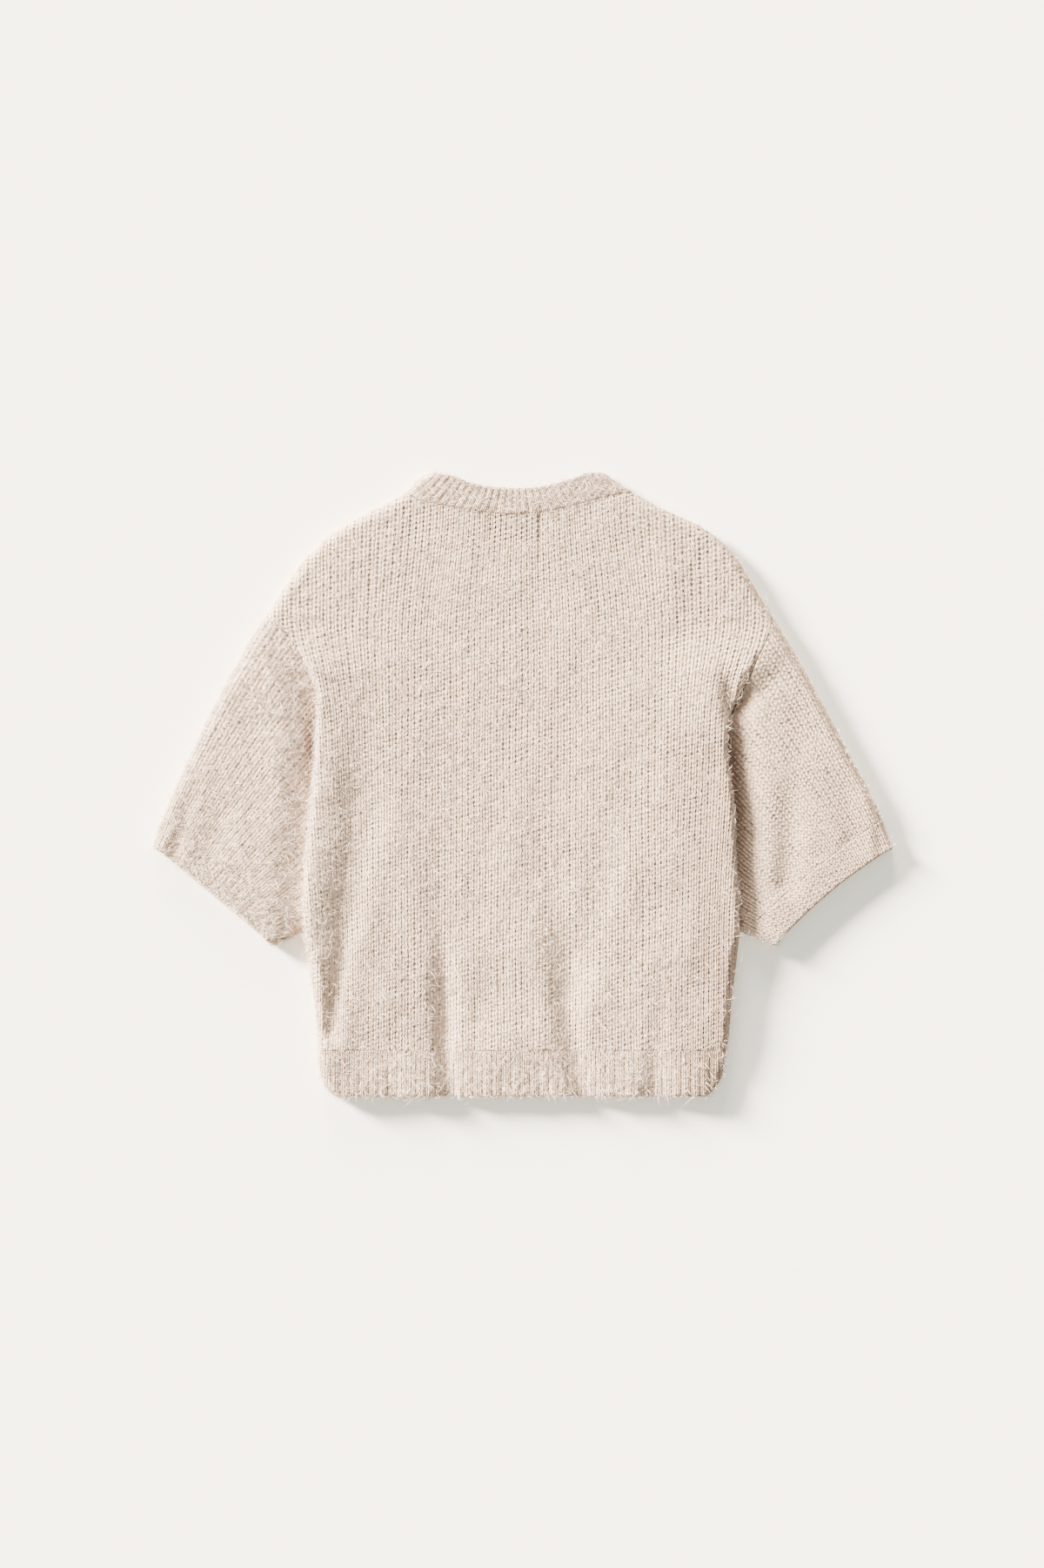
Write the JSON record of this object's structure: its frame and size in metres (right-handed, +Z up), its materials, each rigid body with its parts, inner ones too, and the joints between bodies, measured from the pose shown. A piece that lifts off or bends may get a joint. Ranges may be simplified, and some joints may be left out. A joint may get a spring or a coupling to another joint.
{
  "type": "short-sleeve cardigan",
  "caption": "Short-sleeve cardigan in brushed knit with a drop shoulder, ribbed neckband, cuffs and hem, laid flat with its back up.",
  "frame": {"origin": "middle of the outline, on the floor that the garment lies on", "axes": "+X across the garment towards the wearer's right sleeve, +Y from the hem to the neck, +Z up from the floor"},
  "size_m": [0.6805, 0.5744, 0.018],
  "materials": {
    "knit": "brushed stockinette knit, oatmeal",
    "rib": "brushed ribbed knit, oatmeal",
    "button": "plain satin button",
    "label": "blank woven label"
  },
  "bodies": {
    "root": {"back": "knit", "hem_back": "rib", "front_left": "knit", "front_right": "knit", "hem_left": "rib", "hem_right": "rib", "sleeve_left": "knit", "sleeve_right": "knit", "cuff_left": "rib", "cuff_right": "rib", "neckband_back": "rib", "neckband_left": "rib", "neckband_right": "rib", "button_band": "rib", "buttonhole_band": "rib", "button_1": "button", "button_2": "button", "button_3": "button", "button_4": "button", "button_5": "button", "button_6": "button", "label": "label"}
  },
  "joints": []
}
